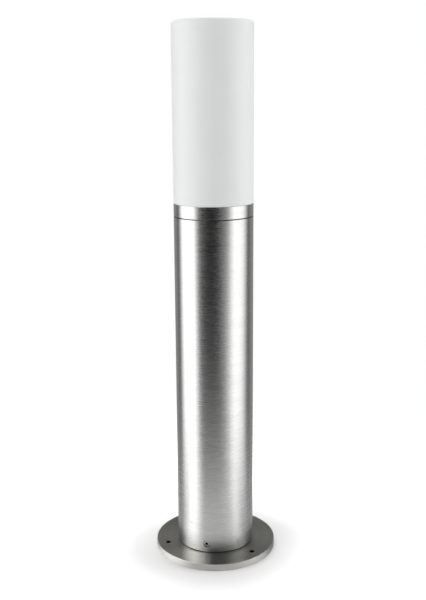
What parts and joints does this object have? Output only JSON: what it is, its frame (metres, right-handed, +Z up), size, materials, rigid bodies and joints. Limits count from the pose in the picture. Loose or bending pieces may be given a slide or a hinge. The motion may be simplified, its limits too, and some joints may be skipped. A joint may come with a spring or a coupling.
{
  "type": "bollard light",
  "caption": "Short post light: a round tube on a round fixing plate, with an opal cylinder of the same width that screws on above a plain ring, over a screw-cap lamp.",
  "frame": {"origin": "centre of the base plate's underside, on the ground", "axes": "+Z up along the post, -Y towards the front set screw, +Y towards the rear fixing hole"},
  "size_m": [0.12, 0.12, 0.5165],
  "materials": {
    "brushed_stainless": "fine lines around the tube",
    "satin_stainless": "turned face, satin",
    "collar_aluminium": "turned",
    "screw_steel": "stainless",
    "black_rubber": "matt",
    "fibre_washer": "red fibre",
    "gland_plastic": "moulded",
    "zinc_sheet": "zinc plated sheet",
    "zinc_hardware": "zinc plated",
    "block_plastic": "natural polyamide",
    "bare_brass": "bare",
    "brown_insulation": "lead insulation",
    "blue_insulation": "lead insulation",
    "earth_insulation": "green and yellow lead insulation",
    "glass_sleeving": "braided sleeving",
    "holder_plastic": "moulded",
    "nickel_shell": "nickel plated sheet",
    "solder": "tinned",
    "cap_insulator": "black",
    "lamp_plastic": "white moulding",
    "board_aluminium": "white solder mask",
    "phosphor": "yellow phosphor",
    "lamp_opal": "opal, frosted",
    "opal_diffuser": "opal, satin"
  },
  "bodies": {
    "bollard": {"base_plate": "satin_stainless", "base_collar": "collar_aluminium", "collar_screws": "screw_steel", "base_gasket": "black_rubber", "post_tube": "brushed_stainless", "set_screws": "screw_steel", "gland_washer": "fibre_washer", "gland_body": "gland_plastic", "gland_seal": "black_rubber", "gland_nut": "gland_plastic", "terminal_bracket": "zinc_sheet", "terminal_bracket_screws": "zinc_hardware", "terminal_block": "block_plastic", "terminal_barrels": "bare_brass", "terminal_screws": "zinc_hardware", "block_screws": "zinc_hardware", "earth_lug": "zinc_hardware", "earth_screw": "zinc_hardware", "live_lead": "brown_insulation", "neutral_lead": "blue_insulation", "earth_lead": "earth_insulation", "lead_sleeve": "glass_sleeving", "head_collar": "brushed_stainless", "head_o_ring": "black_rubber", "holder_bracket": "zinc_sheet", "holder_bracket_screws": "zinc_hardware", "nipple": "zinc_hardware", "nipple_nuts": "zinc_hardware", "holder_base": "holder_plastic", "holder_insert": "holder_plastic", "holder_terminals": "bare_brass", "holder_contact": "bare_brass", "holder_shell": "nickel_shell", "holder_sleeve": "holder_plastic"},
    "diffuser_lift": {"diffuser_gasket": "black_rubber"},
    "diffuser": {"diffuser": "opal_diffuser"},
    "lamp_lift": {"lamp_contact": "solder"},
    "lamp": {"lamp_cap": "nickel_shell", "lamp_insulator": "cap_insulator", "lamp_housing": "lamp_plastic", "lamp_board": "board_aluminium", "lamp_chips": "phosphor", "lamp_globe": "lamp_opal"}
  },
  "joints": [
    {"name": "diffuser_rise", "type": "slide", "parent": "bollard", "child": "diffuser_lift", "axis": [0, 0, 1], "range_m": [0, 0.008]},
    {"name": "diffuser_turn", "type": "hinge", "parent": "diffuser_lift", "child": "diffuser", "pos_m": [0, 0, 0.351], "axis": [0, 0, 1], "range_deg": [0, 720]},
    {"name": "lamp_rise", "type": "slide", "parent": "bollard", "child": "lamp_lift", "axis": [0, 0, 1], "range_m": [0, 0.01089]},
    {"name": "lamp_turn", "type": "hinge", "parent": "lamp_lift", "child": "lamp", "pos_m": [0, 0, 0.36], "axis": [0, 0, 1], "range_deg": [0, 1080]}
  ],
  "couplings": [
    {"joint": "diffuser_rise", "follows": "diffuser_turn", "m_per_rad": 0.00063662},
    {"joint": "lamp_rise", "follows": "lamp_turn", "m_per_rad": 0.00057757}
  ]
}
